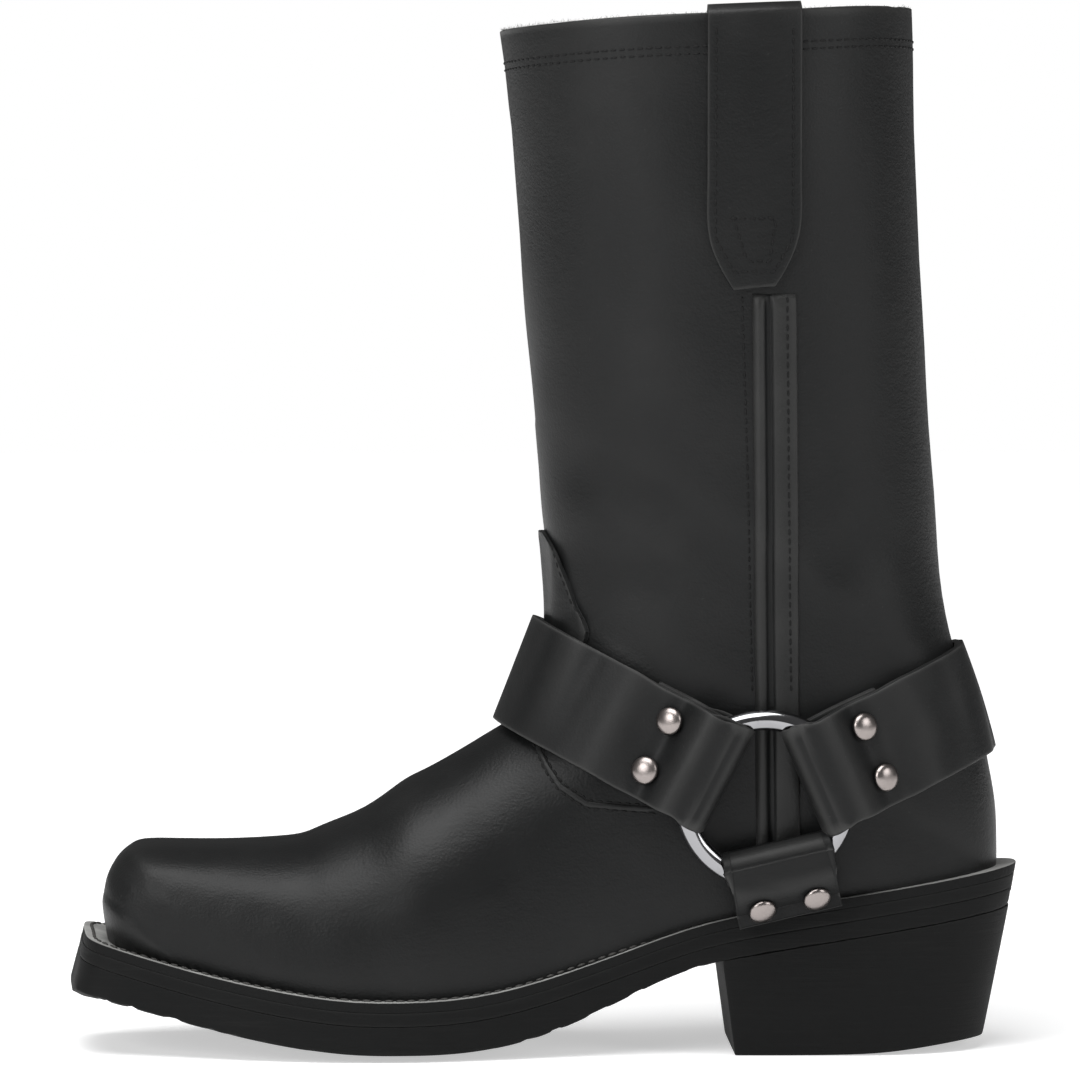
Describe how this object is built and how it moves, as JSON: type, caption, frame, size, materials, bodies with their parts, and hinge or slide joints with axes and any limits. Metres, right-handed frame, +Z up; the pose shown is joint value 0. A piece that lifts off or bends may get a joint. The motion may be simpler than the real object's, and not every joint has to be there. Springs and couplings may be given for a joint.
{
  "type": "harness boot",
  "caption": "Pull-on leather boot with a square toe, tall open shaft, stacked heel and a strap harness with a metal ring on each side.",
  "frame": {"origin": "on the floor under the middle of the boot's box", "axes": "+Z up along the shaft, -X towards the toe, -Y towards the lateral side"},
  "size_m": [0.3043, 0.1128, 0.3319],
  "materials": {
    "leather": "waxy matte black leather",
    "chrome": "polished plate",
    "nickel": "dull polished rivet heads",
    "sole": "matte black, ground edges",
    "insole": "plain tan leather"
  },
  "bodies": {
    "boot": {"upper": "leather", "vamp_tongue": "leather", "side_seam_lateral": "leather", "side_seam_medial": "leather", "pull_strap_lateral": "leather", "pull_strap_medial": "leather", "instep_strap": "leather", "heel_strap": "leather", "sole_strap_lateral": "leather", "sole_strap_medial": "leather", "rivet_instep_lateral_1": "nickel", "rivet_instep_lateral_2": "nickel", "rivet_instep_medial_1": "nickel", "rivet_instep_medial_2": "nickel", "rivet_heel_lateral_1": "nickel", "rivet_heel_lateral_2": "nickel", "rivet_heel_medial_1": "nickel", "rivet_heel_medial_2": "nickel", "rivet_sole_lateral_1": "nickel", "rivet_sole_lateral_2": "nickel", "rivet_sole_medial_1": "nickel", "rivet_sole_medial_2": "nickel", "welt": "sole", "midsole": "sole", "outsole": "sole", "heel": "sole", "insole": "insole"},
    "lateral_ring": {"ring_lateral": "chrome"},
    "medial_ring": {"ring_medial": "chrome"}
  },
  "joints": [
    {"name": "lateral_ring_turn", "type": "hinge", "parent": "boot", "child": "lateral_ring", "pos_m": [0.0695, -0.0444, 0.0823], "axis": [0, -0.9945, -0.1045], "continuous": true},
    {"name": "medial_ring_turn", "type": "hinge", "parent": "boot", "child": "medial_ring", "pos_m": [0.0695, 0.0444, 0.0823], "axis": [0, 0.9945, -0.1045], "continuous": true}
  ]
}
